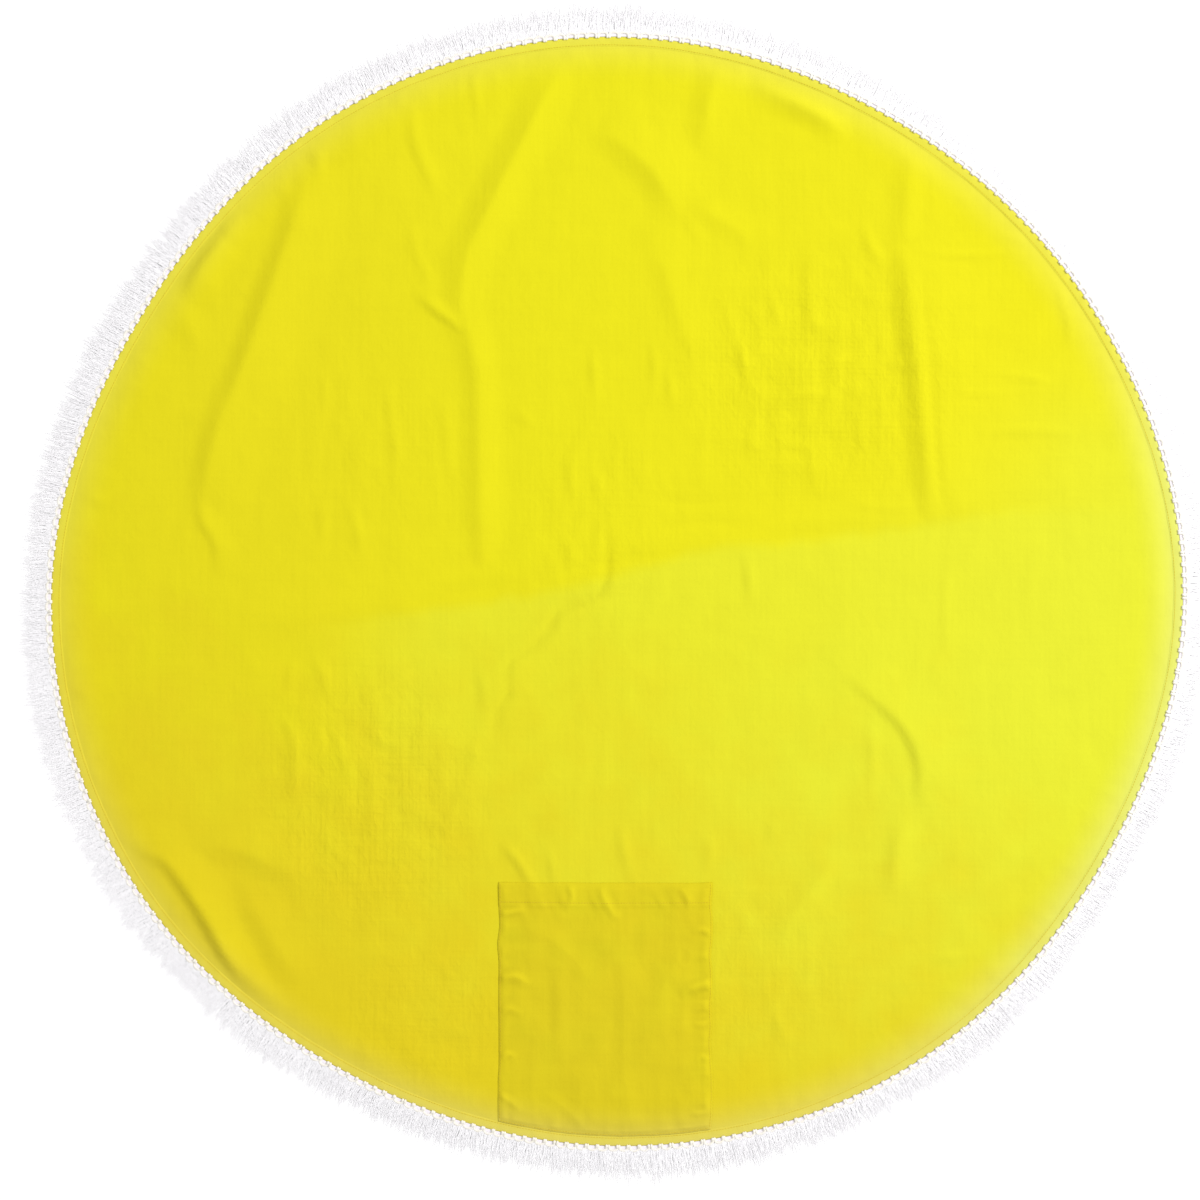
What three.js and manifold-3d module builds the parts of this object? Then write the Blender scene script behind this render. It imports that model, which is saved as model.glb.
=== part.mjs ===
// A round picnic blanket laid out flat, face up: one yellow cotton cloth with a narrow hem, a patch pocket
// of the same cloth at its lower edge, and a white fringe trim sewn all round.
// Sizes are in millimetres, +Z is up, and the pocket lies towards -Y.
import * as THREE from 'three';
import { mergeVertices } from 'three/addons/utils/BufferGeometryUtils.js';
import Module from 'manifold-3d';

const CLOTH_THICKNESS = 2;
const HEM_WIDTH = 12;
const HEM_THICKNESS = 2.6;
const SEWING_GAP = 0.3;

// The cloth is worked as a square sheet of cells, then cut to its round outline.
const SHEET_SIDE = 1512;
const SHEET_CELLS = 48;
const CUTTER_HEIGHT = 60;
const OUTLINE_POINTS = 168;
// A corner of a cell this near a fold's crest is moved onto it.
const CREST_REACH = 13;
// Folds die away between these two distances from the cloth's edge, which lies flat.
const FLAT_EDGE = { from: 10, to: 60 };

// The cloth's reach from its middle, every 30 degrees anticlockwise from +X: it is a little out of round.
const REACHES = [
  { bearing: 0, reach: 751 },
  { bearing: 30, reach: 734 },
  { bearing: 60, reach: 725 },
  { bearing: 90, reach: 734 },
  { bearing: 120, reach: 733 },
  { bearing: 150, reach: 727 },
  { bearing: 180, reach: 748 },
  { bearing: 210, reach: 748 },
  { bearing: 240, reach: 731 },
  { bearing: 270, reach: 735 },
  { bearing: 300, reach: 740 },
  { bearing: 330, reach: 738 },
];

// The main folds, as soft hollow ridges. Each crest runs from one end to the other, bowed to its left by
// `bow` at the middle. `rise` is its height at its start, middle and end. Its flanks reach `spread` each way.
const FOLDS = [
  { name: 'left long', x0: -405, y0: 545, x1: -538, y1: 61, bow: -25, rise: [0, 11, 0], spread: 38 },
  { name: 'middle top', x0: -48, y0: 670, x1: -196, y1: 445, bow: -20, rise: [0, 8, 9], spread: 38 },
  { name: 'middle foot', x0: -196, y0: 445, x1: -171, y1: 15, bow: -3, rise: [9, 7, 0], spread: 36 },
  { name: 'middle kink', x0: -290, y0: 410, x1: -187, y1: 320, bow: 0, rise: [0, 5, 4], spread: 34 },
  { name: 'right long', x0: 360, y0: 560, x1: 409, y1: 28, bow: 3, rise: [0, 10, 0], spread: 36 },
  { name: 'upper slant', x0: -15, y0: 591, x1: 178, y1: 452, bow: -18, rise: [0, 5, 0], spread: 36 },
  { name: 'left edge', x0: -518, y0: 492, x1: -571, y1: 399, bow: 0, rise: [0, 5, 0], spread: 34 },
  { name: 'lower left', x0: -611, y0: -340, x1: -490, y1: -540, bow: 10, rise: [5, 11, 9], spread: 36 },
  { name: 'lower left inner', x0: -470, y0: -440, x1: -455, y1: -560, bow: 6, rise: [0, 5, 0], spread: 34 },
  { name: 'lower right', x0: 307, y0: -121, x1: 403, y1: -277, bow: 18, rise: [0, 6, 0], spread: 36 },
  { name: 'lower right foot', x0: 376, y0: -303, x1: 363, y1: -409, bow: -6, rise: [0, 5, 0], spread: 34 },
  { name: 'centre top', x0: -5, y0: 68, x1: -16, y1: 0, bow: 0, rise: [5, 6, 6], spread: 36 },
  { name: 'centre foot', x0: -16, y0: 0, x1: -147, y1: -171, bow: -8, rise: [6, 6, 0], spread: 36 },
  { name: 'cross left', x0: -600, y0: -5, x1: -180, y1: 1, bow: 0, rise: [0, 4, 4], spread: 64 },
  { name: 'cross middle', x0: -180, y0: 1, x1: 178, y1: 68, bow: -6, rise: [4, 5, 5], spread: 64 },
  { name: 'cross right', x0: 178, y0: 68, x1: 640, y1: 150, bow: -6, rise: [5, 5, 0], spread: 64 },
];
const CREST_STEPS = 80;

const POCKET_LEFT = -156;
const POCKET_RIGHT = 127;
const POCKET_MOUTH = -386;
const POCKET_THICKNESS = 1.5;
const POCKET_HEM = { depth: 33, extra: 0.7, slope: 6 };
// How far the panel stands off the cloth between its seams, so that a hand finds the mouth open.
const POCKET_EASE = 7;
// The panel's foot keeps this far inside the hem, so that it stays clear between the outline's points.
const POCKET_FOOT_GAP = 0.5;
// The share of the panel's width, at each side, over which it rises from its seam.
const POCKET_FLANK = 0.18;
// The share of the panel's depth, from the mouth, over which the full ease is kept.
const POCKET_OPEN_SHARE = 0.4;
const POCKET_COLUMNS = 18;
const POCKET_ROWS = 12;

const HEADING_WIDTH = 9;
const TRIM_THICKNESS = 2;
const LOCKS = 264;
const LOCK_LENGTH = 27;
const LOCK_LENGTH_SPREAD = 5;
const LOCK_ROOT_WIDTH = 13.5;
const LOCK_TIP_WIDTH = 9;
const LOCK_TIP_THICKNESS = 1;
const LOCK_LEAN = 3;

const yellowCotton = new THREE.MeshStandardMaterial({ color: 0xe9e12b, roughness: 0.9, metalness: 0 });
const pocketCotton = new THREE.MeshStandardMaterial({ color: 0xdccb25, roughness: 0.9, metalness: 0 });
const whiteFringe = new THREE.MeshStandardMaterial({ color: 0xf4f2f4, roughness: 0.95, metalness: 0 });

const { smoothstep, lerp, euclideanModulo } = THREE.MathUtils;

// The distance from the cloth's middle to its edge at an angle, on a smooth closed curve through the table.
function reachAt(angle) {
  const place = euclideanModulo(angle / (2 * Math.PI), 1) * REACHES.length;
  const row = Math.floor(place);
  const t = place - row;
  const [before, from, to, after] = [-1, 0, 1, 2].map(
    (step) => REACHES[euclideanModulo(row + step, REACHES.length)].reach,
  );
  const bend = 2 * before - 5 * from + 4 * to - after;
  const twist = 3 * (from - to) + after - before;
  return from + 0.5 * t * (to - before + t * (bend + t * twist));
}

// A fold's height at a share of the way along its crest.
function crestHeight([start, middle, end], t) {
  return t < 0.5 ? lerp(start, middle, smoothstep(t, 0, 0.5)) : lerp(middle, end, smoothstep(t, 0.5, 1));
}

// Points along the crest of a fold, each with its height and the fold's spread.
function crestOf(row) {
  const from = new THREE.Vector2(row.x0, row.y0);
  const to = new THREE.Vector2(row.x1, row.y1);
  const along = to.clone().sub(from).normalize();
  const pull = from.clone().lerp(to, 0.5);
  pull.x -= 2 * row.bow * along.y;
  pull.y += 2 * row.bow * along.x;
  const curve = new THREE.QuadraticBezierCurve(from, pull, to);
  return curve.getPoints(CREST_STEPS).map((point, step) => ({
    x: point.x,
    y: point.y,
    height: crestHeight(row.rise, step / CREST_STEPS),
    spread: row.spread,
  }));
}

const CRESTS = FOLDS.map(crestOf);

function nearest(crest, x, y) {
  let best = crest[0];
  let distance = Infinity;
  for (const point of crest) {
    const away = Math.hypot(point.x - x, point.y - y);
    if (away < distance) {
      distance = away;
      best = point;
    }
  }
  return { ...best, distance };
}

// How high the folds lift the cloth at a point: the highest of them counts.
function foldHeight(x, y) {
  let height = 0;
  for (const crest of CRESTS) {
    const near = nearest(crest, x, y);
    const bell = 0.5 + 0.5 * Math.cos(Math.PI * Math.min(1, near.distance / near.spread));
    height = Math.max(height, near.height * bell);
  }
  const edgeGap = reachAt(Math.atan2(y, x)) - Math.hypot(x, y);
  return height * smoothstep(edgeGap, FLAT_EDGE.from, FLAT_EDGE.to);
}

// Moves a point onto the nearest crest, where one is within reach.
function ontoCrest(x, y) {
  const candidates = CRESTS.map((crest) => nearest(crest, x, y));
  const near = candidates.reduce((best, other) => (other.distance < best.distance ? other : best));
  return near.distance < CREST_REACH ? near : { x, y };
}

// Rebuilds every corner of a geometry by the place that `shape` gives for it.
function reshape(geometry, shape) {
  const corners = geometry.getAttribute('position');
  for (let i = 0; i < corners.count; i += 1) {
    const { x, y, z } = shape(corners.getX(i), corners.getY(i), corners.getZ(i));
    corners.setXYZ(i, x, y, z);
  }
  geometry.computeVertexNormals();
  return geometry;
}

// Turns the diagonal of each four-cornered cell the way that keeps a crest whole. Each cell has six index
// entries, for its corners a, b, d and then b, c, d.
function followCrests(geometry) {
  const corners = geometry.getAttribute('position');
  const index = geometry.getIndex();
  for (let i = 0; i < index.count; i += 6) {
    const [a, b, d] = [index.getX(i), index.getX(i + 1), index.getX(i + 2)];
    const c = index.getX(i + 4);
    if (corners.getZ(a) + corners.getZ(c) > corners.getZ(b) + corners.getZ(d)) {
      index.setX(i + 2, c);
      index.setX(i + 3, a);
    }
  }
  return geometry;
}

// A point at an angle round the cloth, a given distance outside its edge.
function outside(angle, distance) {
  const radius = reachAt(angle) + distance;
  return new THREE.Vector2(radius * Math.cos(angle), radius * Math.sin(angle));
}

// The closed round line at a distance outside the cloth's edge.
function roundLine(distance) {
  const turn = (2 * Math.PI) / OUTLINE_POINTS;
  return Array.from({ length: OUTLINE_POINTS }, (_, step) => outside(step * turn, distance));
}

function extruded(shape, depth) {
  return new THREE.ExtrudeGeometry(shape, { depth, bevelEnabled: false });
}

const wasm = await Module();
wasm.setup();

// A closed geometry as a solid that can be cut and joined.
function solidOf(geometry) {
  const bare = geometry.clone();
  bare.deleteAttribute('normal');
  bare.deleteAttribute('uv');
  const merged = mergeVertices(bare, 1e-3);
  return new wasm.Manifold(
    new wasm.Mesh({
      numProp: 3,
      vertProperties: new Float32Array(merged.getAttribute('position').array),
      triVerts: new Uint32Array(merged.getIndex().array),
    }),
  );
}

function geometryOf(solid) {
  const { vertProperties, triVerts } = solid.getMesh();
  const geometry = new THREE.BufferGeometry();
  geometry.setAttribute('position', new THREE.BufferAttribute(vertProperties, 3));
  geometry.setIndex(new THREE.BufferAttribute(triVerts, 1));
  geometry.computeVertexNormals();
  return geometry;
}

// The cloth: a sheet of cells lifted along the folds and cut to the round outline, with its hem turned in.
function clothGeometry() {
  const cells = new THREE.BoxGeometry(SHEET_SIDE, SHEET_SIDE, 1, SHEET_CELLS, SHEET_CELLS, 1);
  const sheet = reshape(cells, (a, b, side) => {
    const inside = Math.max(Math.abs(a), Math.abs(b)) < SHEET_SIDE / 2;
    const { x, y } = inside ? ontoCrest(a, b) : { x: a, y: b };
    return { x, y, z: foldHeight(x, y) + (side > 0 ? CLOTH_THICKNESS : 0) };
  });
  const cutter = extruded(new THREE.Shape(roundLine(0)), CUTTER_HEIGHT);
  cutter.translate(0, 0, -CUTTER_HEIGHT / 2);
  const hemShape = new THREE.Shape(roundLine(0));
  hemShape.holes.push(new THREE.Path(roundLine(-HEM_WIDTH)));
  const hem = extruded(hemShape, HEM_THICKNESS);
  return geometryOf(solidOf(followCrests(sheet)).intersect(solidOf(cutter)).add(solidOf(hem)));
}

// The Y of the pocket's lower seam, just inside the cloth's hem.
function pocketFoot(x) {
  const inset = HEM_WIDTH + POCKET_FOOT_GAP;
  let y = inset - reachAt(-Math.PI / 2);
  for (let pass = 0; pass < 4; pass += 1) {
    const radius = reachAt(Math.atan2(y, x)) - inset;
    y = -Math.sqrt(radius * radius - x * x);
  }
  return y;
}

// The pocket panel: sewn down at its sides and foot, and eased off the cloth towards its open mouth.
function pocketGeometry() {
  const cells = new THREE.BoxGeometry(1, 1, 1, POCKET_COLUMNS, POCKET_ROWS, 1);
  return reshape(cells, (a, b, side) => {
    const across = a + 0.5;
    const down = 0.5 - b;
    const x = lerp(POCKET_LEFT, POCKET_RIGHT, across);
    const y = lerp(POCKET_MOUTH, pocketFoot(x), down);
    const sides = smoothstep(across, 0, POCKET_FLANK) * smoothstep(1 - across, 0, POCKET_FLANK);
    const ease = POCKET_EASE * sides * (1 - smoothstep(down, POCKET_OPEN_SHARE, 1));
    const { depth, extra, slope } = POCKET_HEM;
    const hem = extra * (1 - smoothstep(POCKET_MOUTH - y, depth - slope, depth));
    const under = CLOTH_THICKNESS + SEWING_GAP + ease;
    return { x, y, z: under + (side > 0 ? POCKET_THICKNESS + hem : 0) };
  });
}

// Uneven values from -1 to 1, the same on every run.
function unevenValues(seed) {
  let state = seed;
  return () => {
    state = (state * 16807) % 2147483647;
    return state / 1073741823.5 - 1;
  };
}

// The trim: a flat heading round the cloth, and fringe locks that taper and lean from its outer edge.
function trimGeometry() {
  const uneven = unevenValues(11);
  const root = SEWING_GAP + HEADING_WIDTH;
  const pitch = (2 * Math.PI) / LOCKS;
  const outline = [];
  for (let lock = 0; lock < LOCKS; lock += 1) {
    const middle = (lock + 0.5) * pitch;
    const tip = root + LOCK_LENGTH + LOCK_LENGTH_SPREAD * uneven();
    const turnPerMm = 1 / (reachAt(middle) + tip);
    const rootTurn = (LOCK_ROOT_WIDTH / 2) * turnPerMm;
    const tipTurn = (LOCK_TIP_WIDTH / 2) * turnPerMm;
    const lean = LOCK_LEAN * uneven() * turnPerMm;
    outline.push(outside(middle - rootTurn, root));
    outline.push(outside(middle + lean - tipTurn, tip));
    outline.push(outside(middle + lean + tipTurn, tip));
    outline.push(outside(middle + rootTurn, root));
  }
  const flat = new THREE.Shape(outline);
  flat.holes.push(new THREE.Path(roundLine(SEWING_GAP)));
  return reshape(extruded(flat, TRIM_THICKNESS), (x, y, z) => {
    const beyond = Math.hypot(x, y) - reachAt(Math.atan2(y, x)) - root;
    const top = lerp(TRIM_THICKNESS, LOCK_TIP_THICKNESS, smoothstep(beyond, 0, LOCK_LENGTH));
    return { x, y, z: z > 0 ? top : 0 };
  });
}

function piece(name, geometry, material) {
  const mesh = new THREE.Mesh(geometry, material);
  mesh.name = name;
  return mesh;
}

const blanket = new THREE.Group();
blanket.add(piece('blanket_cloth', clothGeometry(), yellowCotton));
blanket.add(piece('pocket', pocketGeometry(), pocketCotton));
blanket.add(piece('fringe_trim', trimGeometry(), whiteFringe));

// The origin is under the middle of the whole blanket, on the surface that it lies on.
const middle = new THREE.Box3().setFromObject(blanket).getCenter(new THREE.Vector3());
blanket.position.set(-middle.x, -middle.y, 0);

export default blanket;
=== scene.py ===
# The looks of a round picnic blanket spread out flat: yellow cotton with soft folds, a patch pocket at its
# lower edge, and a white looped heading with a loose fringe sewn all round.
# Sizes are in millimetres, measured from the middle of the cloth, and turn into metres where a mesh is made.
# Nodes measure in metres. Colours are linear.
from typing import NamedTuple

import bpy
import numpy as np
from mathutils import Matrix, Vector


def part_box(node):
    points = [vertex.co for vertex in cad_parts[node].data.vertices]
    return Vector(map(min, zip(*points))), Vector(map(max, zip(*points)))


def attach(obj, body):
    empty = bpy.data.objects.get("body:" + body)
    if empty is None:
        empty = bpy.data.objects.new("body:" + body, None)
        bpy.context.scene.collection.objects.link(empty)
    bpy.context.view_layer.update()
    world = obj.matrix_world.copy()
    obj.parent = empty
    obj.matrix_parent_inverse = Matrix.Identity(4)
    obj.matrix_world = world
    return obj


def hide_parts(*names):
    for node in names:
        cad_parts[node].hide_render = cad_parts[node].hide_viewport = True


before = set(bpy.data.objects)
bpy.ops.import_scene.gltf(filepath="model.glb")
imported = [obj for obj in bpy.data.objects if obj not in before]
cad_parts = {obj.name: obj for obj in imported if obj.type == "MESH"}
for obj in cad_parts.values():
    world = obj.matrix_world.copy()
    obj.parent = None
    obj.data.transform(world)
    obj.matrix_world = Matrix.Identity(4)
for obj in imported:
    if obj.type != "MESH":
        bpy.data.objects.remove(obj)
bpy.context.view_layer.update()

MM = 0.001
TURN = 2 * np.pi

CLOTH_THICKNESS = 1.4
HEM_WIDTH = 12.5
HEM_TOP = 2.05
OUTLINE_POINTS = 168
# The cloth's reach from its middle, every 30 degrees anticlockwise from +X: it is a little out of round.
REACHES = np.array([751, 734, 725, 734, 733, 727, 748, 748, 731, 735, 740, 738], float)
# Folds die away between these two distances from the cloth's edge, which lies flat.
FLAT_EDGE_FROM = 12
FLAT_EDGE_TO = 38
CLOTH_RINGS = 127
FOLD_SHARPNESS = 0.6
CREASE_SHARPNESS = 0.4
# The cloth's rim stops this far inside its outline, where the hem covers it.
CLOTH_RIM_INSET = 0.8
# The cloth's face lies this much lower under the hem, and rises again between the two distances inwards.
UNDER_HEM_SINK = 0.4
UNDER_HEM_FROM = 10.5
UNDER_HEM_TO = 13
# Lengths along the edge: all the way round it, and for each radian at the cloth's edge, loops and fringe.
EDGE_LENGTH = 4640
CLOTH_RADIUS = 740
LOOP_RADIUS = 745
FRINGE_RADIUS = 770
LATTICE = 256


class Fold(NamedTuple):
    """A soft ridge along a smooth crest through its points, with its height at each. A negative height is a
    soft trough. The spreads are how far it reaches to the left and right of the way the points run."""

    name: str
    crest: tuple
    rise: tuple
    left_spread: float
    right_spread: float


def hump(name, crest, height, left_spread, right_spread):
    """A fold through three points that is highest at the middle one and runs out at its ends."""
    return Fold(name, crest, (0, height, 0), left_spread, right_spread)


FOLDS = [
    Fold("left long", ((-402, 568), (-420, 508), (-442, 442), (-466, 375), (-492, 302), (-520, 236),
         (-540, 165), (-548, 108)), (0, 6, 7.4, 7.6, 7, 6.2, 6, 1), 84, 27),
    Fold("left long tail", ((-552, 122), (-546, 92), (-528, 58), (-525, 10)), (2, 3.4, 2.6, 0), 36, 13),
    Fold("left edge", ((-497, 508), (-524, 470), (-552, 425), (-574, 388)), (0, 9, 9, 0), 42, 26),
    hump("left edge foot", ((-590, 372), (-560, 345), (-556, 300)), 2.4, 34, 30),
    Fold("middle top", ((-66, 702), (-96, 650), (-121, 600), (-147, 550), (-171, 500), (-195, 450),
         (-204, 400), (-204, 362)), (1, 6, 7, 7.6, 7.6, 6, 5, 4), 46, 36),
    Fold("middle foot", ((-205, 385), (-193, 332), (-184, 290), (-181, 220), (-180, 150), (-179, 90),
         (-175, 40), (-172, -4)), (3, 4.6, 5.2, 5.2, 5, 4, 3, 0), 40, 28),
    Fold("middle kink", ((-268, 402), (-240, 374), (-212, 353), (-188, 330)), (0, 4, 4.6, 3), 26, 11),
    Fold("upper slant", ((-26, 612), (12, 588), (44, 561), (64, 532), (84, 500)),
         (0.5, 5.4, 6.4, 5.4, 1), 80, 34),
    Fold("slant branch", ((40, 488), (62, 432), (78, 380), (95, 330), (110, 272)),
         (0, 2.3, 2.5, 2.2, 0), 60, 27),
    hump("slant tail", ((92, 512), (140, 492), (196, 452)), 3.2, 34, 28),
    Fold("top right hook", ((142, 712), (127, 662), (117, 618), (112, 572)), (1.5, 4, 3.6, 0), 44, 30),
    Fold("top right slant", ((182, 668), (232, 648), (274, 626), (310, 598)), (0, 6, 6, 0), 30, 27),
    Fold("right soft top", ((392, 606), (389, 545), (384, 470)), (0, 3.6, 2.6), 40, 34),
    Fold("right long", ((376, 462), (386, 412), (392, 350), (398, 290), (405, 220), (411, 150),
         (413, 95), (412, 22)), (1.5, 6.5, 7.6, 7.6, 7.2, 6, 3.5, 0), 145, 28),
    Fold("lower left", ((-628, -344), (-598, -356), (-570, -390), (-541, -436), (-515, -484),
         (-495, -526), (-474, -562)), (2, 6, 9, 10.5, 10.5, 9.5, 6), 54, 16),
    Fold("lower left slope", ((-566, -338), (-505, -342), (-456, -362), (-408, -384)),
         (0, 4, 4, 0), 52, 30),
    Fold("lower left second", ((-492, -384), (-474, -430), (-446, -478), (-414, -530)),
         (0, 3.8, 4, 0), 52, 38),
    Fold("lower left edge", ((-470, -502), (-462, -535), (-452, -572)), (0, 3.4, 1.5), 26, 18),
    Fold("lower right", ((300, -108), (342, -142), (374, -172), (394, -204), (404, -240),
         (402, -262), (410, -290)), (0.6, 3, 4.8, 5.4, 4.6, 3, 0.5), 70, 12),
    Fold("lower right foot", ((384, -296), (374, -330), (368, -372), (366, -414)),
         (0, 3, 3.4, 0), 34, 20),
    Fold("lower right slant", ((296, -338), (272, -382), (238, -424), (196, -464)),
         (0, 4, 3.6, 0), 24, 34),
    Fold("centre top", ((-5, 74), (-12, 30), (-30, -10)), (2, 3, 2.5), 36, 34),
    Fold("centre foot", ((-30, -10), (-90, -58), (-140, -110), (-156, -190)),
         (2.5, 2.6, 2.4, 0), 40, 36),
    Fold("cross left", ((-600, -15), (-400, -30), (-205, -8)), (0, 3, 3.4), 80, 80),
    Fold("cross middle", ((-205, -8), (-40, 26), (178, 52)), (3.4, 4.2, 4.2), 80, 80),
    Fold("cross right", ((178, 52), (400, 76), (640, 140)), (4.2, 4, 0), 80, 80),
]

# The line across the cloth below which its yellow is paler, from left to right, and from how far above
# the line to how far below it the change runs. The warmer yellow above the line is painted shade of the fold
# there.
SHADE_LINE = ((-760, -66), (-419, -40), (-286, -27), (-154, -9), (-21, 18), (111, 54))
SHADE_LINE += ((270, 70), (376, 86), (509, 106), (641, 110), (760, 98))
SHADE_LINE_SOFTNESS = (-9, 15)

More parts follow.
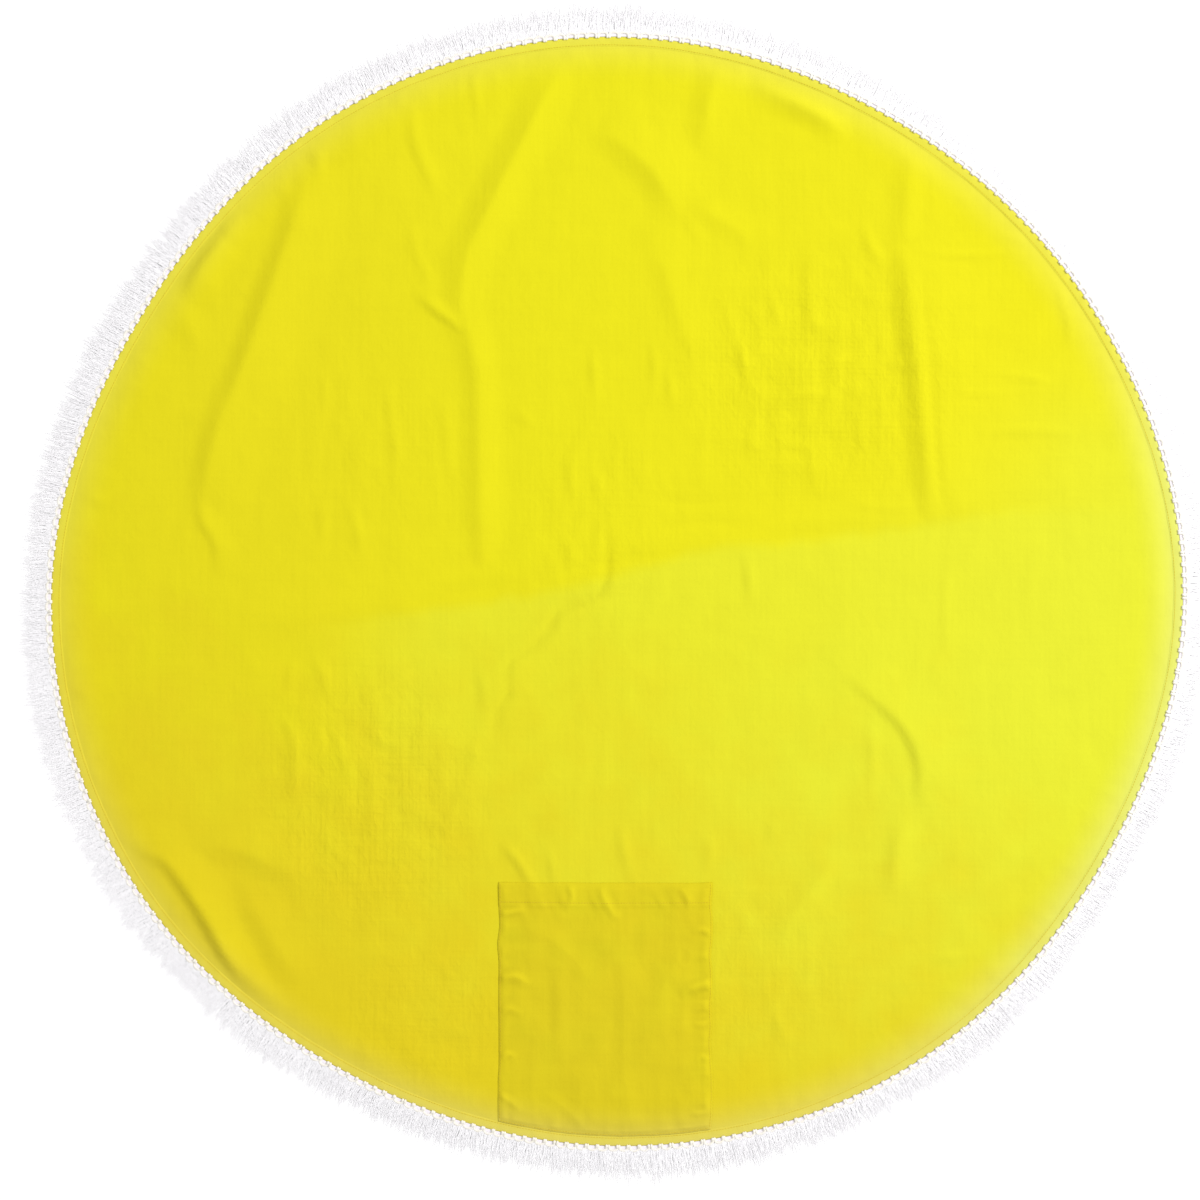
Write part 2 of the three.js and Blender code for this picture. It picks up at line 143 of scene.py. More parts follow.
# The small creases on and between the main folds, added to them.
CREASES = [
    Fold("cross line left", ((-410, -58), (-300, -34), (-250, -14), (-205, 2), (-160, 5), (-90, 18),
         (-30, 36)), (0, -1.6, -2.2, -2.6, -2.4, -1.8, -1.6), 22, 66),
    Fold("cross line right", ((-30, 38), (40, 45), (160, 50), (230, 74), (400, 80), (520, 110),
         (650, 142)), (-1.6, -2.4, -2.4, -2.6, -2.4, -1.8, 0), 22, 66),
    Fold("centre steps", ((-10, 70), (-13, 14), (-34, -13), (-74, -29), (-91, -57), (-117, -82),
         (-141, -101), (-143, -140)), (-1.4, -3, -2.6, -2.6, -2.8, -2.6, -2.4, -1.4), 10, 16),
    Fold("centre steps foot", ((-143, -140), (-156, -165), (-159, -200)), (-1.4, -2, 0), 10, 14),
    Fold("left top short", ((-399, 606), (-396, 572), (-395, 528)), (0.8, 2.4, 0), 20, 8),
    Fold("second left top", ((-270, 650), (-266, 600), (-250, 556), (-236, 522)),
         (0, 2.2, 2.2, 0), 18, 13),
    Fold("second left foot", ((-272, 492), (-266, 455), (-252, 420), (-240, 388)),
         (0, 1.4, 1.3, 0), 15, 9),
    Fold("left thin one", ((-303, 292), (-299, 240), (-292, 190), (-290, 126)),
         (0, 1.5, 1.8, 0), 13, 8),
    hump("left thin two", ((-228, 262), (-224, 205), (-221, 142)), 1.7, 13, 12),
    hump("left thin three", ((-388, 300), (-386, 262), (-384, 210)), 1.3, 12, 10),
    hump("left thin four", ((-352, 122), (-342, 80), (-338, 40)), 1.8, 14, 12),
    hump("left thin five", ((-392, 130), (-388, 90), (-386, 40)), 1.3, 12, 11),
    hump("left thin six", ((-372, 240), (-366, 215), (-364, 190)), 1.3, 15, 12),
    Fold("left top pucker", ((-462, 548), (-440, 530), (-436, 500)), (0.6, 1.6, 0), 14, 12),
    hump("centre thin one", ((-30, 332), (-28, 290), (-24, 240)), 1.7, 12, 11),
    hump("centre thin two", ((-60, 186), (-58, 150), (-54, 100)), 1.8, 12, 13),
    hump("centre thin three", ((-28, 168), (-22, 140), (-20, 112)), 1.6, 12, 10),
    hump("centre thin four", ((-76, 86), (-62, 56), (-58, 16)), 2, 14, 12),
    hump("centre thin five", ((-20, 96), (-22, 74), (-18, 48)), 1.6, 12, 10),
    hump("beside middle foot", ((-140, 240), (-118, 228), (-104, 222)), 1.5, 12, 12),
    Fold("top pucker one", ((-196, 712), (-186, 660), (-180, 606)), (1.2, 1.4, 0), 12, 9),
    Fold("top pucker two", ((-168, 716), (-160, 690), (-158, 650)), (1, 1.2, 0), 10, 8),
    Fold("top pucker three", ((-216, 702), (-208, 676), (-204, 650)), (0.9, 1, 0), 10, 8),
    Fold("right thin", ((404, 436), (413, 322), (421, 222), (428, 150), (436, 90)),
         (0, -1.6, -1.6, -1.8, 0), 9, 8),
    hump("right thin foot", ((438, 40), (436, -20), (440, -92)), 1.3, 12, 9),
    Fold("right hook", ((328, 496), (336, 458), (352, 434)), (0, 2.8, 1), 14, 10),
    hump("inner right one", ((160, 340), (170, 300), (180, 252)), 2.4, 13, 9),
    hump("inner right two", ((184, 226), (180, 196), (176, 172)), 2.2, 12, 10),
    hump("inner right three", ((170, 56), (177, 18), (178, -22)), 2.2, 14, 9),
    hump("inner right four", ((252, 432), (259, 382), (264, 332)), 2, 11, 9),
    hump("inner right five", ((256, 208), (262, 170), (262, 130)), 1.6, 11, 10),
    hump("inner right six", ((348, 300), (352, 252), (350, 200)), 1.7, 12, 11),
    hump("inner right seven", ((322, 240), (326, 206), (328, 176)), 1.5, 10, 10),
    hump("inner right eight", ((206, 400), (212, 365), (210, 330)), 1.5, 12, 12),
    hump("inner right nine", ((68, 300), (74, 268), (76, 236)), 1.7, 11, 10),
    hump("inner right ten", ((46, 336), (52, 300), (50, 262)), 1.4, 10, 10),
    hump("right level one", ((394, 449), (460, 446), (536, 452)), 2, 9, 9),
    hump("right level two", ((506, 290), (545, 284), (580, 278)), 1.8, 10, 10),
    hump("right level three", ((256, 288), (290, 304), (336, 320)), 2.2, 13, 12),
    hump("right level four", ((22, 128), (96, 118), (170, 124)), -1.2, 13, 13),
    hump("right level five", ((40, 84), (110, 92), (186, 90)), -1.1, 11, 11),
    hump("right level six", ((450, 206), (545, 214), (640, 204)), 1.6, 12, 11),
    hump("right level seven", ((196, 240), (246, 262), (300, 256)), 1.8, 12, 10),
    hump("right level eight", ((442, 268), (484, 262), (520, 266)), 1.4, 9, 9),
    hump("right level nine", ((500, 476), (536, 468), (560, 452)), 1.8, 11, 10),
    hump("right level ten", ((300, 118), (360, 112), (420, 116)), 1.4, 11, 10),
    Fold("right edge one", ((576, 434), (589, 396), (600, 358), (603, 318)), (0.8, 2.6, 2, 0), 10, 8),
    Fold("right edge two", ((601, 404), (611, 362), (618, 322)), (1, 2, 0), 10, 8),
    Fold("right edge three", ((690, 236), (696, 214), (700, 190)), (0.8, 1.6, 0), 10, 8),
    Fold("left centre one", ((-446, -158), (-428, -190), (-424, -238), (-432, -290)),
         (0, 2, 1.8, 0), 13, 11),
    hump("left centre two", ((-376, -168), (-366, -204), (-352, -252)), 2.2, 12, 10),
    hump("left centre three", ((-346, -156), (-312, -134), (-268, -106)), 2, 10, 12),
    hump("left centre four", ((-400, -86), (-386, -110), (-380, -148)), 2, 10, 12),
    hump("left centre five", ((-180, -96), (-174, -130), (-172, -172)), 1.8, 12, 10),
    hump("left centre six", ((-184, -182), (-188, -220), (-194, -262)), 1.6, 10, 10),
    hump("left centre seven", ((-424, -84), (-430, -112), (-432, -142)), 1.5, 10, 10),
    hump("left centre eight", ((-196, -260), (-214, -286), (-220, -330)), 1.7, 12, 12),
    Fold("pocket corner", ((-152, -336), (-134, -352), (-112, -386)), (0, 2.8, 1.8), 13, 10),
    Fold("pocket corner thin", ((-88, -340), (-84, -362), (-80, -384)), (0, 1.6, 1), 9, 9),
    Fold("above pocket", ((6, -300), (10, -340), (20, -380)), (0, 2.2, 1), 16, 12),
    hump("above pocket two", ((122, -318), (126, -346), (120, -380)), 1.4, 12, 12),
    hump("lower right inner", ((336, -168), (340, -212), (338, -290)), 1.8, 14, 12),
    hump("lower right short", ((206, -300), (208, -316), (206, -334)), 1.6, 10, 9),
    hump("lower right low", ((206, -540), (216, -575), (232, -606)), 2.2, 18, 16),
    hump("lower right level", ((410, -486), (440, -484), (480, -478)), 1.6, 12, 12),
    Fold("left rim pucker one", ((-736, -132), (-712, -134), (-690, -140)), (2, 2, 0), 12, 12),
    Fold("left rim pucker two", ((-712, -226), (-698, -242), (-680, -252)), (2, 2, 0), 12, 12),
    hump("left rim pucker three", ((-712, 130), (-690, 124), (-668, 124)), 1.8, 14, 14),
    Fold("right rim short", ((562, -490), (530, -498), (500, -502)), (1.2, 2, 0), 12, 12),
    Fold("right rim low", ((652, -338), (636, -346), (620, -342)), (1, 1.8, 0), 10, 10),
]

# Creases of the pocket panel itself.
POCKET_CREASES = [
    Fold("left side one", ((-154, -428), (-138, -424), (-118, -420)), (2.4, 2.2, 0), 8, 8),
    Fold("left side two", ((-154, -512), (-132, -510), (-112, -522)), (3, 3, 0), 10, 12),
    Fold("left side three", ((-154, -556), (-140, -552), (-122, -560)), (2, 1.6, 0), 9, 9),
    Fold("left side four", ((-154, -616), (-142, -612), (-130, -618)), (2.2, 1.6, 0), 8, 9),
    Fold("left side five", ((-154, -668), (-138, -676), (-124, -690)), (2, 1.6, 0), 10, 9),
    Fold("right side one", ((125, -452), (112, -448), (100, -452)), (2, 1.8, 0), 8, 9),
    Fold("right side two", ((125, -520), (104, -524), (84, -536)), (3, 3, 0), 12, 10),
    Fold("right side three", ((125, -566), (112, -572), (100, -570)), (2, 1.6, 0), 9, 9),
    Fold("right side four", ((125, -620), (114, -616), (104, -622)), (1.8, 1.4, 0), 9, 8),
    Fold("right side five", ((125, -686), (108, -690), (96, -686)), (2.2, 1.6, 0), 9, 9),
    Fold("band fold one", ((-62, -388), (-58, -404), (-62, -420)), (1.4, 1.8, 0.6), 9, 7),
    Fold("band fold two", ((-20, -392), (-14, -410), (-2, -428)), (0.8, 2.2, 1.4), 12, 10),
    Fold("band fold three", ((84, -390), (94, -406), (98, -420)), (0.6, 2, 0.8), 11, 9),
    Fold("middle upright", ((4, -430), (12, -520), (10, -610), (20, -700)),
         (0.3, 0.5, 1.1, 0.6), 22, 16),
    hump("left upright", ((-70, -460), (-74, -560), (-66, -660)), 1, 22, 16),
    hump("slanting one", ((-120, -440), (-60, -480), (-20, -540)), 1.2, 20, 18),
    hump("slanting two", ((90, -470), (60, -540), (70, -620)), 1.2, 18, 20),
    Fold("low one", ((-110, -650), (-60, -690), (-40, -712)), (0, 1.2, 0.8), 14, 14),
]


class Zone(NamedTuple):
    """An oval stretch of cloth that is more crumpled than the rest."""

    name: str
    middle: tuple
    radii: tuple
    crumple: float
    upright_streaks: float
    level_streaks: float


ZONES = [
    Zone("lower left", (-326, -277), (190, 230), 1.0, 0.9, 0.5),
    Zone("right of centre", (277, 286), (250, 200), 0.9, 0.9, 1.0),
    Zone("beside the pocket", (190, -500), (170, 160), 0.6, 0.4, 0.5),
    Zone("left of the pocket", (-250, -560), (150, 130), 0.8, 0.5, 0.5),
    Zone("left of centre", (-330, 200), (200, 190), 0.35, 0.8, 0.3),
    Zone("centre", (-20, 90), (150, 190), 0.5, 0.9, 0.3),
]
QUIET_CRUMPLE = 0.22
QUIET_STREAKS = 0.3

POCKET_LEFT = -156
POCKET_RIGHT = 127
POCKET_MOUTH = -386
POCKET_WIDTH = POCKET_RIGHT - POCKET_LEFT
POCKET_LENGTH = 337
POCKET_THICKNESS = 0.9
POCKET_EDGE_THICKNESS = 0.25
POCKET_BAND = 33
POCKET_BAND_EXTRA = 0.8
POCKET_BAND_SLOPE = 4
# The band's seam lies this far above its lower edge.
POCKET_BAND_SEAM = 6
POCKET_EASE = 1.2
POCKET_FLANK = 0.18
POCKET_OPEN_SHARE = 0.4
POCKET_SEAM_INSET = 2.6
POCKET_REST = 0.04
POCKET_COLUMNS = 130
POCKET_ROWS = 152

LOOP_PITCH = 14
LOOP_STEPS = 17
LOOP_YARN_RADIUS = 1.85
LOOP_FLATNESS = 0.75
LOOP_REST = 1.8
LOOP_SIDES = 9
LOOP_HALF_WIDTH = 5.85
# How far outside the cloth's edge a loop's ends and its shoulders lie.
LOOP_INNER = -1.6
LOOP_OUTER = 3.1
# The shares of half a loop that are its bow and its leg.
LOOP_BOW_SHARE = 0.42
LOOP_LEG_SHARE = 0.58

FRINGE_LENGTH = 30.5
FRINGE_LAYERS = 3
FRINGE_THREADS = 6600
FRINGE_POINTS = 5
FRINGE_SIDES = 3
FRINGE_ROOT = 5.3
FRINGE_TUFTS = 640
# Each layer's tufts are moved on by this share of a tuft.
TUFT_SHIFT = 0.37

STITCH_LENGTH = 3.1
STITCH_GAP = 0.7
STITCH_RADIUS = 0.28
STITCH_SIDES = 4

CAMERA_HEIGHT = 4000
VIEW_WIDTH = 1590
SENSOR_WIDTH = 36
VIEW_CENTRE = (-21.2, -11.9)

FLOOR_SIZE = 9000
FLOOR_DROP = 0.3


def smooth(value, low, high):
    share = np.clip((value - low) / (high - low), 0, 1)
    return share * share * (3 - 2 * share)


def between(rows, t):
    """The place a share t of the way from the second of four rows to the third, on a smooth curve."""
    before, start, end, after = rows
    bend = 2 * before - 5 * start + 4 * end - after
    twist = 3 * (start - end) + after - before
    return start + 0.5 * t * (end - before + t * (bend + t * twist))


def reach_at(angle):
    """The distance from the cloth's middle to its edge, on a smooth closed curve through the table."""
    place = (angle / TURN) % 1 * len(REACHES)
    row = np.floor(place).astype(int)
    return between([REACHES[(row + step) % len(REACHES)] for step in (-1, 0, 1, 2)], place - row)


def outside(angle, distance):
    """Points at an angle round the cloth, a distance outside its edge."""
    radius = reach_at(angle) + distance
    return np.stack([radius * np.cos(angle), radius * np.sin(angle)], axis=-1)


def edge_gap(x, y):
    return reach_at(np.arctan2(y, x)) - np.hypot(x, y)


def shift_into_frame():
    """How far the cloth's middle lies from the frame's origin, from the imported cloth's own box."""
    low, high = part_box("blanket_cloth")
    rim = outside(np.arange(OUTLINE_POINTS) * TURN / OUTLINE_POINTS, 0)
    node_middle = (np.array(low)[:2] + np.array(high)[:2]) / 2 / MM
    return node_middle - (rim.min(axis=0) + rim.max(axis=0)) / 2


SHIFT = shift_into_frame()


def uneven(x, y, pitch_x, pitch_y, seed):
    """Smooth uneven values from -1 to 1 over the plane, with their own pitch each way."""
    lattice = np.random.default_rng(seed).uniform(-1, 1, (LATTICE, LATTICE))
    across = np.asarray(x / pitch_x, float)
    along = np.asarray(y / pitch_y, float)
    column = np.floor(across).astype(int)
    row = np.floor(along).astype(int)
    a = smooth(across - column, 0, 1)
    b = smooth(along - row, 0, 1)
    corner = [[lattice[(column + i) % LATTICE, (row + j) % LATTICE] for j in (0, 1)] for i in (0, 1)]
    near = corner[0][0] * (1 - a) + corner[1][0] * a
    far = corner[0][1] * (1 - a) + corner[1][1] * a
    return near * (1 - b) + far * b


def smooth_curve(points, steps=8):
    """A smooth curve through a row of points, with steps short pieces between each two."""
    rows = np.array(points, float)
    rows = np.concatenate([2 * rows[:1] - rows[1:2], rows, 2 * rows[-1:] - rows[-2:-1]])
    t = (np.arange(steps) / steps)[None, :, None]
    curve = between([rows[k : len(rows) - 3 + k, None] for k in range(4)], t)
    return np.concatenate([curve.reshape(-1, rows.shape[1]), rows[-2:-1]])


def ridge(points, fold, sharpness):
    """The height that one fold gives each point. Its crest is round at sharpness 0 and creased at 1."""
    height = np.zeros(len(points))
    path = smooth_curve([(*place, rise) for place, rise in zip(fold.crest, fold.rise)])
    rise = path[:, 2]
    path = path[:, :2]
    spread = max(fold.left_spread, fold.right_spread)
    near = np.all((points > path.min(axis=0) - spread) & (points < path.max(axis=0) + spread), axis=1)
    if not near.any():
        return height
    step = np.diff(path, axis=0)
    offset = points[near][:, None] - path[None, :-1]
    share = np.clip((offset * step).sum(-1) / (step * step).sum(-1), 0, 1)
    gap = np.linalg.norm(offset - share[..., None] * step, axis=-1)
    best = gap.argmin(axis=1)
    pick = np.arange(len(best))
    left = step[best, 0] * offset[pick, best, 1] - step[best, 1] * offset[pick, best, 0] > 0
    away = np.minimum(1, gap[pick, best] / np.where(left, fold.left_spread, fold.right_spread))
    crest = rise[best] + share[pick, best] * (rise[best + 1] - rise[best])
    height[near] = crest * (1 - away) ** 2 * (1 + 2 * away * (1 - sharpness))
    return height


def zone_values(x, y):
    """How crumpled and how streaked the cloth is at each point."""
    values = [np.full(x.shape, quiet) for quiet in (QUIET_CRUMPLE, QUIET_STREAKS, QUIET_STREAKS)]
    for zone in ZONES:
        away = np.hypot((x - zone.middle[0]) / zone.radii[0], (y - zone.middle[1]) / zone.radii[1])
        weight = 1 - smooth(away, 0.35, 1.2)
        strengths = (zone.crumple, zone.upright_streaks, zone.level_streaks)
        values = [np.maximum(old, weight * new) for old, new in zip(values, strengths)]
    return values


def cloth_lift(x, y):
    """The height of the cloth's underside above the floor."""
    points = np.stack([x, y], axis=-1)
    wander_x = x + 9 * uneven(x, y, 55, 55, 3)
    wander_y = y + 9 * uneven(x, y, 55, 55, 4)
    main = np.zeros(len(points))
    for fold in FOLDS:
        main = np.maximum(main, ridge(points, fold, FOLD_SHARPNESS))
    small = np.zeros(len(points))
    for crease in CREASES:
        small += ridge(points, crease, CREASE_SHARPNESS)
    crumple, upright, level = zone_values(x, y)
    rumples = 1.7 * (0.5 - np.abs(uneven(wander_x, wander_y, 34, 46, 5)))
    rumples += 1.1 * (0.5 - np.abs(uneven(wander_x, wander_y, 19, 23, 6)))
    streaks = 0.8 * upright * uneven(wander_x, y, 15, 90, 7)
    streaks += 0.7 * level * uneven(x, wander_y, 80, 15, 8)
    rolls = 1.5 + 1.3 * uneven(x, y, 170, 210, 9) + 0.7 * uneven(x, y, 80, 95, 10)
    gap = edge_gap(x, y)
    inner = smooth(gap, FLAT_EDGE_FROM, FLAT_EDGE_TO)
    arc = np.arctan2(y, x) * CLOTH_RADIUS
    tuck = smooth(gap, HEM_WIDTH, HEM_WIDTH + 8) * np.exp(-np.maximum(0, gap - HEM_WIDTH) / 24)
    tucks = 1.1 * tuck * (0.5 + uneven(arc, gap, 13, 60, 11))
    return np.maximum(0, (main + small + crumple * rumples + streaks + rolls) * inner + tucks)


def below_shade_line(x, y):
    """0 above the line across the cloth, 1 below it. On the left it is 0 by the line and 0.6 low down."""
    line = smooth_curve(SHADE_LINE)
    height = np.interp(x, line[:, 0], line[:, 1]) + 4 * uneven(x, y, 24, 60, 12)
    fade = np.maximum(smooth(x, -450, -230), 0.6 * smooth(-y, 90, 380))
    return smooth(height - y, *SHADE_LINE_SOFTNESS) * fade


def disc(rings):
    """Even rings of points from the middle out, as shares of the reach, and the triangles between them."""
    angles = [np.zeros(1)]
    shares = [np.zeros(1)]
    faces = []
    for ring in range(1, rings + 1):
        angles.append(np.arange(6 * ring) * TURN / (6 * ring))
        shares.append(np.full(6 * ring, ring / rings))
        outer_start = 1 + 3 * ring * (ring - 1)
        inner_start = 1 + 3 * (ring - 1) * (ring - 2) if ring > 1 else 0
        inner_count = max(1, 6 * (ring - 1))
        sextant = np.repeat(np.arange(6), ring)
        place = np.tile(np.arange(ring), 6)
        outer = outer_start + sextant * ring + place
        outer_next = outer_start + (sextant * ring + place + 1) % (6 * ring)
        inner = inner_start + (sextant * (ring - 1) + place) % inner_count
        inner_next = inner_start + (sextant * (ring - 1) + place + 1) % inner_count
        faces.append(np.stack([outer, outer_next, inner], axis=-1))
        between = place < ring - 1
        faces.append(np.stack([outer_next, inner_next, inner], axis=-1)[between])
    return np.concatenate(angles), np.concatenate(shares), np.concatenate(faces)


def into_scene(name, data):
    thing = bpy.data.objects.new(name, data)
    bpy.context.scene.collection.objects.link(thing)
    return thing


def make_piece(name, points, faces, material, slot, rounded=True, **values):
    """A mesh piece from points in millimetres, riding on the blanket. values are per point."""
    mesh = bpy.data.meshes.new(name)
    places = np.array(points, float)
    places[:, :2] += SHIFT
    mesh.vertices.add(len(places))
    mesh.vertices.foreach_set("co", (places * MM).astype(np.float32).ravel())
    corners = np.concatenate([part.ravel() for part in faces])
    sizes = np.concatenate([np.full(len(part), part.shape[1]) for part in faces])
    mesh.loops.add(len(corners))
    mesh.loops.foreach_set("vertex_index", corners.astype(np.int32))
    mesh.polygons.add(len(sizes))
    mesh.polygons.foreach_set("loop_start", (np.cumsum(sizes) - sizes).astype(np.int32))
    mesh.update(calc_edges=True)
    if rounded:
        mesh.shade_smooth()
    else:
        mesh.shade_flat()
    for label, numbers in values.items():
        attribute = mesh.attributes.new(label, "FLOAT", "POINT")
        attribute.data.foreach_set("value", np.asarray(numbers, np.float32))
    mesh.materials.append(material)
    piece = into_scene(name, mesh)
    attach(piece, "root")
    return piece


def ring_faces(columns, rows):
    """Faces of a tube that is closed on itself: columns of rows points each, the last next to the first."""
    column = np.arange(columns)[:, None]
    row = np.arange(rows)[None, :]
    here = column * rows + row
    above = column * rows + (row + 1) % rows
    beside = (column + 1) % columns * rows + row
    beside_above = (column + 1) % columns * rows + (row + 1) % rows
    return np.stack([here, beside, beside_above, above], axis=-1).reshape(-1, 4)


def yarns(paths, radii, sides, ply=0.0, lay=1.0, thickness=1.0):
    """Threads along many paths at once, of shape threads x steps x 3. ply is how far the section is from
    round, as that of a two-ply yarn, lay the length of one turn of its twist, and thickness its height as a
    share of its width."""
    threads, steps, _ = paths.shape
    ahead = np.gradient(paths, axis=1)
    ahead /= np.linalg.norm(ahead, axis=-1, keepdims=True)
    side = np.stack([-ahead[..., 1], ahead[..., 0], np.zeros((threads, steps))], axis=-1)
    side /= np.linalg.norm(side, axis=-1, keepdims=True) + 1e-9
    lift = thickness * np.cross(ahead, side)
    run = np.linalg.norm(np.diff(paths, axis=1), axis=-1)
    run = np.concatenate([np.zeros((threads, 1)), np.cumsum(run, axis=1)], axis=1)
    turns = run / lay
    angle = np.arange(sides) * TURN / sides - TURN / 4
    swell = 1 + ply * np.cos(2 * (angle - np.pi * turns[..., None]))
    radius = (np.broadcast_to(radii, (threads, steps))[..., None] * swell)[..., None]
    rim = np.cos(angle)[:, None] * side[:, :, None] + np.sin(angle)[:, None] * lift[:, :, None]
    points = (paths[:, :, None] + radius * rim).reshape(-1, 3)
    thread = np.arange(threads)[:, None, None] * steps
    step = np.arange(steps - 1)[None, :, None]
    corner = np.arange(sides)[None, None, :]
    here = (thread + step) * sides + corner
    beside = (thread + step) * sides + (corner + 1) % sides
    on = (thread + step + 1) * sides + corner
    on_beside = (thread + step + 1) * sides + (corner + 1) % sides
    first = np.arange(threads)[:, None] * steps * sides
    faces = [
        np.stack([here, beside, on_beside, on], axis=-1).reshape(-1, 4),
        first + np.arange(sides)[::-1],
        first + (steps - 1) * sides + np.arange(sides),
    ]
    return points, faces


def stitch_row(line):
    """Short thread stitches along a line of points that lies on the cloth."""
    run = np.concatenate([[0], np.cumsum(np.linalg.norm(np.diff(line, axis=0), axis=1))])
    starts = np.arange(STITCH_GAP, run[-1] - STITCH_LENGTH, STITCH_LENGTH + STITCH_GAP)
    places = starts[:, None] + STITCH_LENGTH * np.array([0, 0.2, 0.8, 1])
    paths = np.stack([np.interp(places, run, line[:, axis]) for axis in range(3)], axis=-1)
    paths[..., 2] += np.array([-0.3, 0.2, 0.2, -0.3])
    return paths


def socket_into(tree, value, socket):
    if isinstance(value, bpy.types.NodeSocket):
        tree.links.new(value, socket)
    else:
        socket.default_value = value


def reckon(tree, operation, *values):
    node = tree.nodes.new("ShaderNodeMath")
    node.operation = operation
    for value, socket in zip(values, node.inputs):
        socket_into(tree, value, socket)
    return node.outputs[0]


def blend_colours(tree, share, first, second, kind="MIX"):
    node = tree.nodes.new("ShaderNodeMix")
    node.data_type = "RGBA"
    node.blend_type = kind
    socket_into(tree, share, node.inputs["Factor"])
    socket_into(tree, first, node.inputs[6])
    socket_into(tree, second, node.inputs[7])
    return node.outputs[2]


def ranged(tree, value, low, high, to_low, to_high):
    node = tree.nodes.new("ShaderNodeMapRange")
    node.interpolation_type = "SMOOTHSTEP"
    for number, socket in zip((value, low, high, to_low, to_high), node.inputs):
        socket_into(tree, number, socket)
    return node.outputs[0]


def own_place(tree):
    return tree.nodes.new("ShaderNodeTexCoord").outputs["Object"]


def clouds(tree, place, stretch, detail=2.0):
    """Uneven values from 0 to 1. stretch is how many clouds there are to a metre each way."""
    scale = tree.nodes.new("ShaderNodeMapping")
    scale.inputs["Scale"].default_value = stretch
    tree.links.new(place, scale.inputs["Vector"])
    noise = tree.nodes.new("ShaderNodeTexNoise")
    noise.inputs["Scale"].default_value = 1
    noise.inputs["Detail"].default_value = detail
    tree.links.new(scale.outputs[0], noise.inputs["Vector"])
    return noise.outputs[0]


def point_value(tree, label):
    node = tree.nodes.new("ShaderNodeAttribute")
    node.attribute_name = label
    return node.outputs["Fac"]


def new_group(name, inputs, outputs):
    """An empty node group with named sockets, and the nodes that stand for its two sides."""
    group = bpy.data.node_groups.new(name, "ShaderNodeTree")
    for label, kind, value in inputs:
        socket = group.interface.new_socket(label, in_out="INPUT", socket_type=kind)
        socket.default_value = value
    for label, kind in outputs:
        group.interface.new_socket(label, in_out="OUTPUT", socket_type=kind)
    return group, group.nodes.new("NodeGroupInput").outputs, group.nodes.new("NodeGroupOutput").inputs


# The distance between threads of the weave, and the width of the paler rim, in metres.
WEAVE_PITCH = 0.0009
RIM_PALLOR_REACH = 0.062

NUMBER = "NodeSocketFloat"
COLOUR = "NodeSocketColor"


def plain_weave_group():
    """Warp and weft threads crossing over and under, with the thick and thin places of spun cotton."""
    inputs = [("Thread Pitch", NUMBER, WEAVE_PITCH), ("Slub", NUMBER, 0.05)]
    group, given, result = new_group("plain_weave", inputs, [("Height", NUMBER), ("Shade", NUMBER)])
    place = own_place(group)
    parts = group.nodes.new("ShaderNodeSeparateXYZ")
    group.links.new(place, parts.inputs[0])
    sway = clouds(group, place, (90, 90, 90), 1)
    threads = []
    for axis in (0, 1):
        count = reckon(group, "DIVIDE", parts.outputs[axis], given["Thread Pitch"])
        threads.append(reckon(group, "MULTIPLY_ADD", sway, 1.2, count))
    waves = [reckon(group, "SINE", reckon(group, "MULTIPLY", thread, np.pi)) for thread in threads]
    over = reckon(group, "MULTIPLY_ADD", reckon(group, "MULTIPLY", waves[0], waves[1]), 0.5, 0.5)
    under = reckon(group, "SUBTRACT", 1, over)
    warp = reckon(group, "MULTIPLY", reckon(group, "ABSOLUTE", waves[0]), over)
    weft = reckon(group, "MULTIPLY", reckon(group, "ABSOLUTE", waves[1]), under)
    relief = reckon(group, "MAXIMUM", warp, weft)
    height = reckon(group, "MULTIPLY", relief, reckon(group, "MULTIPLY", given["Thread Pitch"], 0.08))
    upright = clouds(group, place, (420, 14, 14))
    level = clouds(group, place, (14, 420, 14))
    slubs = reckon(group, "SUBTRACT", reckon(group, "ADD", upright, level), 1)
    shade = reckon(group, "MULTIPLY_ADD", slubs, given["Slub"], 0.97)
    group.links.new(height, result["Height"])
    # The raised threads are painted a little paler than the hollows between them: painted shade of the weave.
    group.links.new(reckon(group, "MULTIPLY_ADD", relief, 0.03, shade), result["Shade"])
    return group


def soft_rumple_group():
    """The finest crumples and drawn threads of washed cotton, finer than the mesh carries."""
    inputs = [("Depth", NUMBER, 0.0004)]
    group, given, result = new_group("soft_rumple", inputs, [("Height", NUMBER)])
    place = own_place(group)
    crumple = clouds(group, place, (60, 45, 45), 3)
    folded = reckon(group, "ABSOLUTE", reckon(group, "SUBTRACT", crumple, 0.5))
    upright = clouds(group, place, (150, 9, 9), 1)
    level = clouds(group, place, (9, 150, 9), 1)
    drawn = reckon(group, "MULTIPLY", reckon(group, "ADD", upright, level), 0.5)
    total = reckon(group, "SUBTRACT", drawn, reckon(group, "MULTIPLY", folded, 1.6))
    depth = reckon(group, "MULTIPLY", given["Depth"], point_value(group, "crumple"))
    group.links.new(reckon(group, "MULTIPLY", total, depth), result["Height"])
    return group


